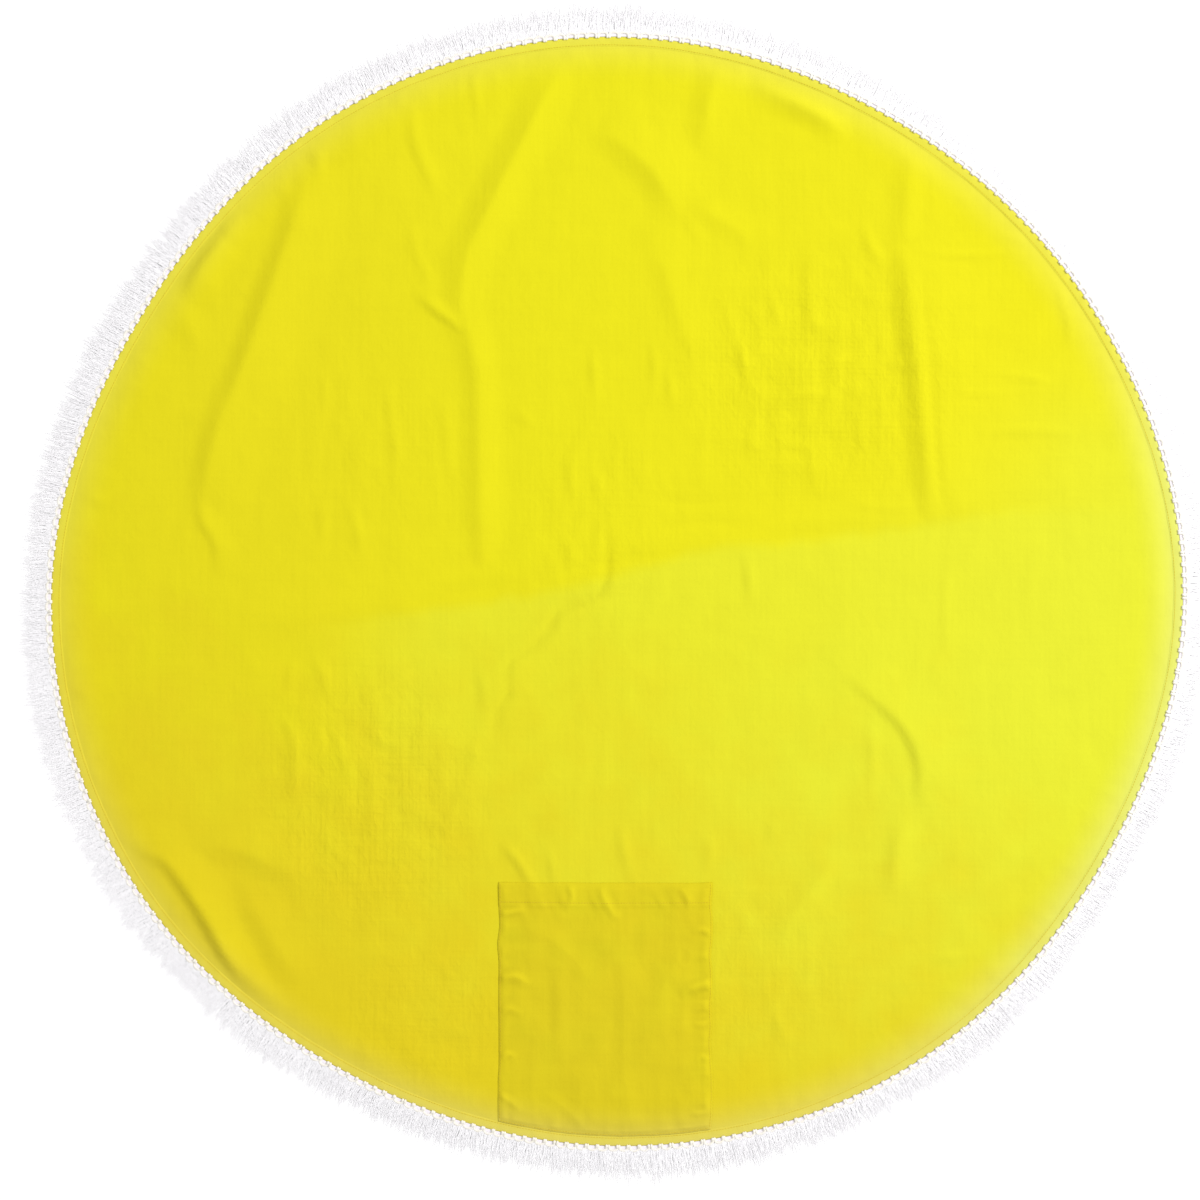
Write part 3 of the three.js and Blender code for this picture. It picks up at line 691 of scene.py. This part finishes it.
def yellow_and_shade_drift_group():
    """The yellow of the cloth: lemon to the right, warmer to the left, deeper low down, paler at its rim.
    The deeper yellow low down and to the left is painted shade of the light falling off, and the warmer
    yellow above the fold line is painted shade of that fold.
    """
    inputs = [
        ("Lemon", COLOUR, (0.8, 0.79, 0.03, 1)),
        ("Yolk", COLOUR, (0.86, 0.77, 0.016, 1)),
        ("Ochre", COLOUR, (0.78, 0.64, 0.015, 1)),
        ("Rim Pallor", COLOUR, (0, 0, 0.12, 1)),
        ("Mottle", NUMBER, 0.05),
        ("Patches", NUMBER, 0.4),
    ]
    group, given, result = new_group("yellow_and_shade_drift", inputs, [("Colour", COLOUR)])
    place = own_place(group)
    parts = group.nodes.new("ShaderNodeSeparateXYZ")
    group.links.new(place, parts.inputs[0])
    broad = clouds(group, place, (3.2, 3.2, 3.2), 2)
    upward = reckon(group, "MULTIPLY_ADD", parts.outputs[1], 1.2, reckon(group, "MULTIPLY", broad, 0.3))
    yolk = ranged(group, reckon(group, "SUBTRACT", upward, parts.outputs[0]), -0.55, 0.05, 0, 1)
    # Below the fold line the yellow is kept more lemon, so the warmer yellow above it is painted shade of
    # that fold.
    above_line = reckon(group, "MULTIPLY_ADD", point_value(group, "below_line"), -0.62, 1)
    yolk = reckon(group, "MULTIPLY", yolk, above_line)
    # The deeper ochre low down and to the left is painted shade of the light falling off.
    slanted = reckon(group, "MULTIPLY_ADD", parts.outputs[0], 0.42, parts.outputs[1])
    lowness = reckon(group, "MULTIPLY_ADD", broad, -0.35, slanted)
    patches = reckon(group, "SUBTRACT", clouds(group, place, (14, 14, 14), 3), 0.5)
    lowness = reckon(group, "MULTIPLY_ADD", patches, given["Patches"], lowness)
    leftness = ranged(group, parts.outputs[0], -0.05, -0.5, 0, 0.34)
    ochre = reckon(group, "MAXIMUM", ranged(group, lowness, -0.08, -0.92, 0, 1), leftness)
    near_rim = reckon(group, "MULTIPLY_ADD", point_value(group, "edge_gap"), -1 / RIM_PALLOR_REACH, 1)
    rim = reckon(group, "POWER", reckon(group, "MAXIMUM", near_rim, 0), 2)
    ochre = reckon(group, "MULTIPLY", ochre, reckon(group, "MULTIPLY_ADD", rim, -0.3, 1))
    colour = blend_colours(group, yolk, given["Lemon"], given["Yolk"])
    colour = blend_colours(group, ochre, colour, given["Ochre"])
    rim_share = reckon(group, "MULTIPLY", rim, reckon(group, "MULTIPLY_ADD", yolk, -0.55, 1))
    rim_share = reckon(group, "MULTIPLY", rim_share, reckon(group, "MULTIPLY_ADD", ochre, -0.4, 1))
    colour = blend_colours(group, rim_share, colour, given["Rim Pallor"], "ADD")
    spots = clouds(group, place, (26, 26, 26), 4)
    light = reckon(group, "MULTIPLY_ADD", reckon(group, "SUBTRACT", spots, 0.5), given["Mottle"], 1)
    group.links.new(blend_colours(group, 1.0, colour, light, "MULTIPLY"), result["Colour"])
    return group


def painted_crease_shade_group():
    """Cloth painted paler along its crests and deeper in its troughs: painted highlight and painted shade of
    the creases.
    """
    inputs = [("Strength", NUMBER, 0.05)]
    group, given, result = new_group("painted_crease_shade", inputs, [("Shade", NUMBER)])
    crest = reckon(group, "MINIMUM", reckon(group, "MAXIMUM", point_value(group, "crest"), -1), 1)
    group.links.new(reckon(group, "MULTIPLY_ADD", crest, given["Strength"], 1), result["Shade"])
    return group


def spun_yarn_group():
    """Loose spun yarn: threads differ a little, and fine fibres run along them. Each point's tone picks
    between the light and the shaded colour; where a piece sets the tone by where shade falls, it is painted
    shade.
    """
    inputs = [
        ("Light", COLOUR, (0.9, 0.89, 0.92, 1)),
        ("Shaded", COLOUR, (0.74, 0.71, 0.78, 1)),
        ("Fibre Depth", NUMBER, 0.0001),
    ]
    outputs = [("Colour", COLOUR), ("Height", NUMBER)]
    group, given, result = new_group("spun_yarn", inputs, outputs)
    fibres = clouds(group, own_place(group), (1500, 1500, 1500), 2)
    tone = reckon(group, "MULTIPLY_ADD", fibres, 0.25, point_value(group, "tone"))
    group.links.new(blend_colours(group, tone, given["Shaded"], given["Light"]), result["Colour"])
    group.links.new(reckon(group, "MULTIPLY", fibres, given["Fibre Depth"]), result["Height"])
    return group


PLAIN_WEAVE = plain_weave_group()
SOFT_RUMPLE = soft_rumple_group()
YELLOW_AND_SHADE_DRIFT = yellow_and_shade_drift_group()
PAINTED_CREASE_SHADE = painted_crease_shade_group()
SPUN_YARN = spun_yarn_group()


def place_group(tree, group, **settings):
    node = tree.nodes.new("ShaderNodeGroup")
    node.node_tree = group
    for label, value in settings.items():
        node.inputs[label.replace("_", " ")].default_value = value
    return node.outputs


def new_material(name, roughness, sheen, specular):
    material = bpy.data.materials.new(name)
    material.use_nodes = True
    shader = material.node_tree.nodes["Principled BSDF"]
    shader.inputs["Roughness"].default_value = roughness
    shader.inputs["Sheen Weight"].default_value = sheen
    shader.inputs["Specular IOR Level"].default_value = specular
    return material, material.node_tree, shader


def bump_into(tree, shader, height):
    bump = tree.nodes.new("ShaderNodeBump")
    bump.inputs["Distance"].default_value = 1
    tree.links.new(height, bump.inputs["Height"])
    tree.links.new(bump.outputs[0], shader.inputs["Normal"])


def cotton_material(name, lemon, yolk, ochre, pallor, rumple, mottle=0.05, patches=0.4):
    material, tree, shader = new_material(name, roughness=0.9, sheen=0.02, specular=0.06)
    shades = dict(Lemon=lemon, Yolk=yolk, Ochre=ochre, Rim_Pallor=pallor)
    yellow_tone = place_group(tree, YELLOW_AND_SHADE_DRIFT, Mottle=mottle, Patches=patches, **shades)
    weave = place_group(tree, PLAIN_WEAVE, Thread_Pitch=WEAVE_PITCH, Slub=0.016)
    crease_shading = place_group(tree, PAINTED_CREASE_SHADE, Strength=0.04)
    folds = place_group(tree, SOFT_RUMPLE, Depth=rumple)
    shade = reckon(tree, "MULTIPLY", weave["Shade"], crease_shading["Shade"])
    colour = blend_colours(tree, 1.0, yellow_tone["Colour"], shade, "MULTIPLY")
    tree.links.new(colour, shader.inputs["Base Color"])
    bump_into(tree, shader, reckon(tree, "ADD", weave["Height"], folds["Height"]))
    return material


def yarn_material(name, light, shaded, fibre_depth, sheen=0.1):
    material, tree, shader = new_material(name, roughness=0.8, sheen=sheen, specular=0.2)
    yarn = place_group(tree, SPUN_YARN, Light=light, Shaded=shaded, Fibre_Depth=fibre_depth)
    tree.links.new(yarn["Colour"], shader.inputs["Base Color"])
    bump_into(tree, shader, yarn["Height"])
    return material


# The cloth's material mixes LEMON, YOLK and OCHRE by place: the deeper OCHRE low down and to the left is
# painted shade of the light falling off, and YOLK is mostly kept off the cloth below the fold line, so the
# warmer yellow above that line is painted shade of the fold.
LEMON = (0.655, 0.67, 0.0275, 1)
YOLK = (0.680, 0.632, 0.0088, 1)
OCHRE = (0.65, 0.522, 0.012, 1)
RIM_PALLOR = (0.0, 0.0, 0.125, 1)
POCKET_LEMON = (0.61, 0.53, 0.0125, 1)
POCKET_OCHRE = (0.61, 0.50, 0.012, 1)

CLOTH_COTTON = cotton_material("yellow_cloth", LEMON, YOLK, OCHRE, RIM_PALLOR, 0.0005)
HEM_COTTON = cotton_material("yellow_hem", LEMON, YOLK, OCHRE, RIM_PALLOR, 0.0003)
POCKET_SHADES = (POCKET_LEMON, POCKET_LEMON, POCKET_OCHRE, RIM_PALLOR)
POCKET_COTTON = cotton_material("doubled_yellow", *POCKET_SHADES, 0.0005, mottle=0.08, patches=1.2)
# The thread is its own golden colour, made a deeper orange to stand also for the orange shade along the
# seams: partly painted shade.
SEWING_THREAD = yarn_material("golden_thread", (0.68, 0.53, 0.015, 1), (0.58, 0.41, 0.01, 1), 0.00003)
WHITE_YARN = yarn_material("white_yarn", (0.85, 0.815, 0.73, 1), (0.77, 0.73, 0.67, 1), 0.0002)
FRINGE_SHADES = ((0.92, 0.907, 0.922, 1), (0.87, 0.855, 0.875, 1))
FRINGE_YARN = yarn_material("loose_white_thread", *FRINGE_SHADES, 0.00003, sheen=0.25)
# The tape is a greyer mauve than the loops, and that grey seen in the gaps between them is partly painted
# shade.
GREY_TAPE = yarn_material("heading_tape", (0.84, 0.80, 0.845, 1), (0.76, 0.72, 0.77, 1), 0.0002)


def make_camera():
    data = bpy.data.cameras.new("camera")
    data.sensor_width = SENSOR_WIDTH
    data.lens = SENSOR_WIDTH * CAMERA_HEIGHT / VIEW_WIDTH
    camera = into_scene("camera", data)
    across, up = (np.array(VIEW_CENTRE) + SHIFT) * MM
    camera.location = (across, up, CAMERA_HEIGHT * MM)
    bpy.context.scene.camera = camera


def make_cloth():
    angle, share, top_faces = disc(CLOTH_RINGS)
    radius = share * (reach_at(angle) - CLOTH_RIM_INSET)
    x = radius * np.cos(angle)
    y = radius * np.sin(angle)
    under = cloth_lift(x, y)
    step = 5
    around = sum(cloth_lift(x + dx, y + dy) for dx, dy in ((step, 0), (-step, 0), (0, step), (0, -step)))
    # The crest value paints the cloth darker in its troughs and a little paler on its crests: painted shade
    # and painted highlight.
    bent = 1.4 * (under - around / 4)
    crest = np.where(bent > 0, 0.25 * bent, bent)
    sink = UNDER_HEM_SINK * (1 - smooth(edge_gap(x, y), UNDER_HEM_FROM, UNDER_HEM_TO))
    top = under + CLOTH_THICKNESS - sink
    count = len(x)
    rim_count = 6 * CLOTH_RINGS
    rim = count - rim_count + np.arange(rim_count)
    rim_next = count - rim_count + (np.arange(rim_count) + 1) % rim_count
    rim_faces = np.stack([rim, rim + count, rim_next + count, rim_next], axis=-1)
    points = np.concatenate([np.stack([x, y, top], axis=-1), np.stack([x, y, under], axis=-1)])
    gap = np.tile(edge_gap(x, y), 2) * MM
    return make_piece(
        "blanket_sheet",
        points,
        [top_faces, top_faces[:, ::-1] + count, rim_faces],
        CLOTH_COTTON,
        "yellow_cotton",
        edge_gap=gap,
        crest=np.tile(crest, 2),
        crumple=np.tile(0.35 + 2.3 * zone_values(x, y)[0], 2),
        below_line=np.tile(below_shade_line(x, y), 2),
    )


# The hem's section, as distances in from the cloth's edge and heights.
HEM_SECTION = [(0.9, 0.05), (0.2, 0.6), (0, 1.2), (0.4, 1.7), (1.6, 1.98), (4.5, 2.05), (8, 1.96)]
HEM_SECTION += [(10.2, 1.8), (11.8, 1.63), (12.8, 1.46), (13, 1.25), (11.5, 0.9)]
HEM_STEPS = 1560
HEM_RIPPLES = 420
HEM_SEAM_INSET = 10.6
HEM_SEAM_TOP = 1.76


def hem_puckers(angle, inset):
    arc = angle / TURN * EDGE_LENGTH
    ripples = 0.24 * uneven(arc + 0.6 * inset, 0 * arc, EDGE_LENGTH / HEM_RIPPLES, 1, 21)
    ripples += 0.12 * uneven(arc, inset, EDGE_LENGTH / (2 * HEM_RIPPLES), 7, 22)
    return ripples * smooth(inset, 0.5, 4) * (1 - smooth(inset, 10.8, 13))


def make_hem():
    angle = np.arange(HEM_STEPS) * TURN / HEM_STEPS
    section = np.array(HEM_SECTION)
    inset = np.broadcast_to(section[:, 0], (HEM_STEPS, len(section)))
    turn = np.broadcast_to(angle[:, None], inset.shape)
    sway = 0.5 * uneven(turn * CLOTH_RADIUS, 0 * turn, 18.7, 1, 23) * smooth(inset, 8, 12)
    flat = outside(turn, -inset - sway)
    pucker = np.where(section[:, 1] > CLOTH_THICKNESS, hem_puckers(turn, inset), 0)
    points = np.concatenate([flat, (section[:, 1] + pucker)[..., None]], axis=-1).reshape(-1, 3)
    gap = (inset * MM).ravel()
    faces = [ring_faces(HEM_STEPS, len(section))]
    below = below_shade_line(points[:, 0], points[:, 1])
    # The hem's puckers are painted darker and paler through their crest value: painted shade and painted
    # highlight.
    values = dict(edge_gap=gap, crest=1.5 * pucker.ravel(), crumple=np.ones(len(points)), below_line=below)
    return make_piece("blanket_hem", points, faces, HEM_COTTON, "yellow_cotton", **values)


def sew(name, lines, slot, seed, tones):
    """A piece of stitches along lines of points that lie on the cloth."""
    paths = np.concatenate([stitch_row(line) for line in lines])
    points, faces = yarns(paths, STITCH_RADIUS, STITCH_SIDES)
    tone = np.random.default_rng(seed).uniform(*tones, len(paths))
    tone = np.repeat(tone, paths.shape[1] * STITCH_SIDES)
    return make_piece(name, points, faces, SEWING_THREAD, slot, tone=tone)


def make_hem_stitches():
    angle = np.linspace(0, TURN, 4 * HEM_STEPS + 1)
    flat = outside(angle, -HEM_SEAM_INSET - 0.3 * uneven(angle * CLOTH_RADIUS, 0 * angle, 31, 1, 24))
    height = HEM_SEAM_TOP + hem_puckers(angle, np.full(angle.shape, HEM_SEAM_INSET))
    return sew("hem_stitches", [np.column_stack([flat, height])], "yellow_cotton", 25, (0.2, 0.8))


def pocket_foot(x):
    """The Y of the pocket's lower seam, just inside the cloth's hem."""
    y = np.full(x.shape, -720.0)
    for _ in range(4):
        radius = reach_at(np.arctan2(y, x)) - HEM_WIDTH + 0.2
        y = -np.sqrt(radius * radius - x * x)
    return y


def pocket_place(across, down):
    """Where a share across and down the pocket panel lies, with its uneven sewn edges."""
    x_even = POCKET_LEFT + across * POCKET_WIDTH
    y_even = POCKET_MOUTH + (pocket_foot(x_even) - POCKET_MOUTH) * down
    left_sway = 1.6 * uneven(y_even, 0 * y_even, 26, 1, 31) * (1 - smooth(across, 0, 0.12))
    right_sway = 1.8 * uneven(y_even, 0 * y_even, 23, 1, 32) * smooth(across, 0.88, 1)
    x = x_even + left_sway + right_sway
    mouth_sway = 0.9 * uneven(x, 0 * x, 34, 1, 33) * (1 - smooth(down, 0, 0.1))
    return x, POCKET_MOUTH + mouth_sway + (pocket_foot(x) - POCKET_MOUTH) * down


def pocket_distances(across, down, x):
    """How far each point of the panel is from its nearer side, from its foot and from its mouth."""
    length = POCKET_MOUTH - pocket_foot(x)
    return np.minimum(across, 1 - across) * POCKET_WIDTH, (1 - down) * length, down * length


def pocket_under(across, down):
    """Where the panel's underside lies: sewn down at its sides and foot, a little off the cloth elsewhere."""
    x, y = pocket_place(across, down)
    from_side, from_foot, from_mouth = pocket_distances(across, down, x)
    sides = smooth(across, 0, POCKET_FLANK) * smooth(1 - across, 0, POCKET_FLANK)
    ease = POCKET_EASE * sides * (1 - smooth(down, POCKET_OPEN_SHARE, 1))
    drawn = np.exp(-from_side / 20) * smooth(from_side, 0.5, 9)
    side_waves = np.where(across < 0.5, uneven(x, y, 60, 14, 34), uneven(x, y, 60, 13, 35))
    side_waves += 0.5 * np.where(across < 0.5, uneven(x, y, 40, 7.5, 43), uneven(x, y, 40, 7, 44))
    side_puckers = 2.1 * drawn * (0.12 + side_waves) * (0.6 + 0.8 * uneven(x, y, 200, 46, 47))
    foot_puckers = 1.1 * np.exp(-from_foot / 13) * smooth(from_foot, 1, 7) * (0.4 + uneven(x, y, 13, 50, 36))
    band_gap = np.abs(from_mouth - POCKET_BAND + 4)
    band_puckers = 1.3 * np.exp(-band_gap / 11) * uneven(x + 0.4 * y, y, 10.5, 40, 37)
    band_puckers += 0.8 * np.exp(-band_gap / 16) * uneven(x, y, 24, 40, 45)
    mouth_waves = 0.7 * np.exp(-from_mouth / 40) * uneven(x, y, 36, 70, 38) * smooth(from_side, 4, 40)
    inner = smooth(from_side, 6, 40) * smooth(from_foot, 6, 40)
    slack = (1.2 * uneven(x, y, 48, 66, 39) + 0.7 * uneven(x, y, 22, 30, 46)) * inner
    streaks = 0.3 * uneven(x, y, 15, 110, 40) + 0.25 * uneven(x, y, 90, 17, 41)
    points = np.stack([x.ravel(), y.ravel()], axis=-1)
    creases = sum(ridge(points, crease, CREASE_SHARPNESS) for crease in POCKET_CREASES)
    total = ease + side_puckers + foot_puckers + band_puckers + mouth_waves + slack + streaks
    total += creases.reshape(x.shape)
    edge = smooth(np.minimum(from_side, np.minimum(from_foot, from_mouth)), 0, 8)
    rest = cloth_lift(x.ravel(), y.ravel()).reshape(x.shape) + CLOTH_THICKNESS
    curl = 0.25 * np.maximum(0, uneven(x, y, 300, 19, 48)) * np.exp(-from_side / 4)
    sewn_in = 0.2 * (1 - smooth(from_foot, 0, 6))
    return x, y, rest + POCKET_REST - sewn_in + curl + edge * np.maximum(0, 0.35 + total)


def pocket_top(across, down):
    """The panel's face: doubled along its mouth and turned in at its sides, with its seams pressed in."""
    x, y, under = pocket_under(across, down)
    from_side, from_foot, from_mouth = pocket_distances(across, down, x)
    from_edge = np.minimum(from_side, np.minimum(from_foot, from_mouth))
    thickness = POCKET_EDGE_THICKNESS + (POCKET_THICKNESS - POCKET_EDGE_THICKNESS) * smooth(from_edge, 0, 10)
    band = POCKET_BAND_EXTRA * (1 - smooth(from_mouth, POCKET_BAND - POCKET_BAND_SLOPE, POCKET_BAND))
    band *= smooth(from_mouth, 0, 4)
    turned_in = 0.25 * (1 - smooth(from_side, 11, 15)) * smooth(from_side, 0, 5)
    seams = 0.25 * np.exp(-(((from_mouth - POCKET_BAND + POCKET_BAND_SEAM) / 1.8) ** 2))
    seams += 0.16 * np.exp(-(((from_side - POCKET_SEAM_INSET) / 1.8) ** 2))
    seams += 0.14 * np.exp(-(((from_foot - POCKET_SEAM_INSET) / 1.8) ** 2))
    return x, y, under + np.maximum(0.25, thickness + band + turned_in - seams)


def make_pocket():
    across, down = np.meshgrid(np.linspace(0, 1, POCKET_COLUMNS + 1), np.linspace(0, 1, POCKET_ROWS + 1))
    x, y, under = pocket_under(across, down)
    top = pocket_top(across, down)[2]
    upper = np.stack([x, y, top], axis=-1).reshape(-1, 3)
    lower = np.stack([x, y, under], axis=-1).reshape(-1, 3)
    columns = POCKET_COLUMNS + 1
    count = len(upper)
    row, column = np.meshgrid(np.arange(POCKET_ROWS), np.arange(POCKET_COLUMNS), indexing="ij")
    here = (row * columns + column).ravel()
    top_faces = np.stack([here, here + columns, here + columns + 1, here + 1], axis=-1)
    index = np.arange(count).reshape(POCKET_ROWS + 1, columns)
    loop = np.concatenate([index[0, :-1], index[:-1, -1], index[-1, :0:-1], index[:0:-1, 0]])
    on = np.roll(loop, -1)
    edge_faces = np.stack([loop, on, on + count, loop + count], axis=-1)
    # The panel's crest value paints its creases darker in the hollows and paler on the crests: painted shade
    # and painted highlight.
    blur = (np.roll(top, 2, 0) + np.roll(top, -2, 0) + np.roll(top, 2, 1) + np.roll(top, -2, 1)) / 4
    crest = np.where((across > 0.02) & (across < 0.98) & (down > 0.02) & (down < 0.98), top - blur, 0)
    return make_piece(
        "pocket_panel",
        np.concatenate([upper, lower]),
        [top_faces, top_faces[:, ::-1] + count, edge_faces],
        POCKET_COTTON,
        "pocket_cotton",
        edge_gap=np.tile(edge_gap(x, y).ravel(), 2) * MM,
        crest=np.tile(3 * crest.ravel(), 2),
        crumple=np.ones(2 * count),
        below_line=np.ones(2 * count),
    )


def pocket_line(across, down):
    """Points on the panel's face along a line of sewing."""
    return np.column_stack(pocket_top(across, down))


def make_pocket_stitches():
    steps = np.linspace(0, 1, 700)
    inset = POCKET_SEAM_INSET / POCKET_WIDTH
    foot_down = 1 - POCKET_SEAM_INSET / POCKET_LENGTH
    band_down = (POCKET_BAND - POCKET_BAND_SEAM) / POCKET_LENGTH
    even = np.ones(steps.shape)
    lines = [
        pocket_line(inset * even, 0.006 + 0.98 * steps),
        pocket_line((1 - inset) * even, 0.006 + 0.98 * steps),
        pocket_line(inset + (1 - 2 * inset) * steps, band_down * even),
        pocket_line(inset + (1 - 2 * inset) * steps, foot_down * even),
    ]
    return sew("pocket_stitches", lines, "pocket_cotton", 42, (0.1, 0.7))


def make_heading():
    """The looped heading: a row of soft yarn loops whose ends grip the cloth's edge."""
    loops = int(round(EDGE_LENGTH / LOOP_PITCH))
    rng = np.random.default_rng(51)
    middle = (np.arange(loops) + rng.uniform(-0.05, 0.05, loops)) * TURN / loops
    share = np.linspace(-1, 1, LOOP_STEPS)
    arch = np.clip(np.abs(share) / LOOP_BOW_SHARE, 0, 1)
    leg = np.clip((np.abs(share) - LOOP_BOW_SHARE) / LOOP_LEG_SHARE, 0, 1)
    widths = rng.uniform(0.94, 1.05, (loops, 1))
    across = LOOP_HALF_WIDTH * widths * np.sign(share) * np.sin(np.pi / 2 * arch)
    across += rng.uniform(-0.5, 0.5, (loops, 1)) * leg
    depths = rng.uniform(0.9, 1.1, (loops, 1))
    beyond = LOOP_OUTER - leg * (LOOP_OUTER - LOOP_INNER) + 3.4 * depths * np.cos(np.pi / 2 * arch)
    over_hem = smooth(-beyond, -3.5, -0.5)
    dive = smooth(leg, 0.86, 1)
    height = LOOP_REST + (HEM_TOP - 0.5) * over_hem - dive
    flat = outside(middle[:, None] + across / LOOP_RADIUS, beyond)
    paths = np.concatenate([flat, height[..., None]], axis=-1)
    radii = LOOP_YARN_RADIUS * (1 - 0.55 * dive) * rng.uniform(0.92, 1.06, (loops, 1))
    points, faces = yarns(paths, radii, LOOP_SIDES, ply=0.14, lay=5, thickness=LOOP_FLATNESS)
    # The loops' bows, under the fringe's roots, are painted darker than their legs: painted shade.
    tone = rng.uniform(0.6, 0.95, (loops, 1)) * (0.35 + 0.65 * arch)
    tone = np.repeat(tone.ravel(), LOOP_SIDES)
    return make_piece("heading_loops", points, faces, WHITE_YARN, "white_fringe", tone=tone)


# The tape's section, as distances out from the cloth's edge and heights.
TAPE_SECTION = [(0.5, 0.1), (8.4, 0.1), (8.6, 0.8), (7.4, 1.4), (4.2, 1.6), (1.2, 1.8), (0.15, 1.55)]
TAPE_STEPS = 1100


def make_heading_tape():
    """The narrow woven tape under the loops."""
    angle = np.arange(TAPE_STEPS) * TURN / TAPE_STEPS
    section = np.array(TAPE_SECTION)
    turn = np.broadcast_to(angle[:, None], (TAPE_STEPS, len(section)))
    beyond = np.broadcast_to(section[:, 0], turn.shape)
    height = section[:, 1] + 0.15 * uneven(turn * CLOTH_RADIUS, beyond, 4.1, 3, 54) * (section[:, 1] > 1)
    points = np.concatenate([outside(turn, beyond), height[..., None]], axis=-1).reshape(-1, 3)
    faces = [ring_faces(TAPE_STEPS, len(section))[:, ::-1]]
    tone = np.full(len(points), 0.4)
    return make_piece("heading_tape", points, faces, GREY_TAPE, "white_fringe", tone=tone)


def fringe_paths(rng, layer):
    """Threads from the heading outward: they lean, curl, gather into uneven tufts and lie on the floor."""
    place = (np.arange(FRINGE_THREADS) + rng.uniform(0, 1, FRINGE_THREADS)) / FRINGE_THREADS
    along = place * EDGE_LENGTH
    tuft = (place * FRINGE_TUFTS + TUFT_SHIFT * layer).astype(int) % FRINGE_TUFTS
    middle = (tuft + 0.5 - TUFT_SHIFT * layer) / FRINGE_TUFTS
    middle = np.where(np.abs(middle - place) < 2 / FRINGE_TUFTS, middle, place)
    tuft_lean = rng.normal(0, 2.6, FRINGE_TUFTS)[tuft] + 4.5 * uneven(along, 0 * place, 64, 1, 60 + layer)
    tuft_length = rng.uniform(0.84, 1.08, FRINGE_TUFTS)[tuft]
    tuft_gather = rng.uniform(0, 0.65, FRINGE_TUFTS)[tuft]
    t = np.linspace(0, 1, FRINGE_POINTS)
    short = rng.uniform(0, 1, FRINGE_THREADS)
    broad = 1 + 0.12 * uneven(along, 0 * place, 110, 1, 90)
    length = FRINGE_LENGTH * tuft_length * broad * (1.58 - 0.78 * short**0.62)
    own_lean = rng.normal(0, 3.2, FRINGE_THREADS)
    curl = rng.normal(0, 1.1, FRINGE_THREADS)
    phase = rng.uniform(0, TURN, FRINGE_THREADS)
    gathered = (middle - place) * EDGE_LENGTH * tuft_gather
    sideways = (tuft_lean + own_lean)[:, None] * t**1.6 + gathered[:, None] * t**1.2
    sideways += curl[:, None] * (np.sin(phase[:, None] + 4.2 * t) - np.sin(phase)[:, None])
    root = FRINGE_ROOT + rng.uniform(-0.9, 0.9, FRINGE_THREADS)
    beyond = root[:, None] + length[:, None] * t
    turn = place[:, None] * TURN + sideways / FRINGE_RADIUS
    rest = rng.uniform(0.2, 0.6, FRINGE_THREADS) + 0.15 * layer
    start = 2.4 + rng.uniform(0, 0.7, FRINGE_THREADS)
    height = rest[:, None] + (start - rest)[:, None] * (1 - t) ** 2.6
    paths = np.concatenate([outside(turn, beyond), height[..., None]], axis=-1)
    tuft_tone = 0.65 + 0.35 * uneven(along, 0 * place, 19, 1, 95)
    # Each thread is painted darker towards its root, where the threads lie over one another: painted shade.
    tone = (tuft_tone * rng.uniform(0.6, 1, FRINGE_THREADS))[:, None] * (0.85 + 0.15 * t)
    return paths, tone


def make_fringe(layer):
    rng = np.random.default_rng(70 + layer)
    paths, tone = fringe_paths(rng, layer)
    t = np.linspace(0, 1, FRINGE_POINTS)
    radii = rng.uniform(0.3, 0.4, (FRINGE_THREADS, 1)) * (1 - 0.6 * t**2)
    points, faces = yarns(paths, radii, FRINGE_SIDES, thickness=0.4)
    tone = np.repeat(tone.ravel(), FRINGE_SIDES)
    name = f"fringe_layer_{layer + 1}"
    return make_piece(name, points, faces, FRINGE_YARN, "white_fringe", rounded=False, tone=tone)


def make_floor():
    half = FLOOR_SIZE / 2 * MM
    drop = -FLOOR_DROP * MM
    mesh = bpy.data.meshes.new("floor")
    corners = [(across * half, along * half, drop) for across, along in ((-1, -1), (1, -1), (1, 1), (-1, 1))]
    mesh.from_pydata(corners, [], [(0, 1, 2, 3)])
    material, _, shader = new_material("pale_floor", roughness=0.9, sheen=0, specular=0.1)
    shader.inputs["Base Color"].default_value = (0.95, 0.95, 0.95, 1)
    mesh.materials.append(material)
    into_scene("floor", mesh)


# The light's place and size are in metres.
KEY_PLACE = (4.95, 2.55, 5.55)
KEY_SIZE = 2.85
KEY_POWER = 458
WORLD_STRENGTH = 0.76


def make_light():
    world = bpy.data.worlds.new("soft_white")
    world.use_nodes = True
    background = world.node_tree.nodes["Background"]
    background.inputs["Color"].default_value = (1, 1, 1, 1)
    background.inputs["Strength"].default_value = WORLD_STRENGTH
    bpy.context.scene.world = world
    data = bpy.data.lights.new("soft_key", "AREA")
    data.shape = "DISK"
    data.size = KEY_SIZE
    data.energy = KEY_POWER
    key = into_scene("soft_key", data)
    key.location = KEY_PLACE
    toward = -key.location
    key.rotation_mode = "QUATERNION"
    key.rotation_quaternion = toward.to_track_quat("-Z", "Y")
    bpy.context.scene.view_settings.view_transform = "Standard"


make_camera()
cloth = make_cloth()
hem = make_hem()
hem_stitches = make_hem_stitches()
pocket = make_pocket()
pocket_stitches = make_pocket_stitches()
loops = make_heading()
make_heading_tape()
for layer in range(FRINGE_LAYERS):
    make_fringe(layer)
make_floor()
make_light()

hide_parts("blanket_cloth")
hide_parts("pocket")
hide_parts("fringe_trim")
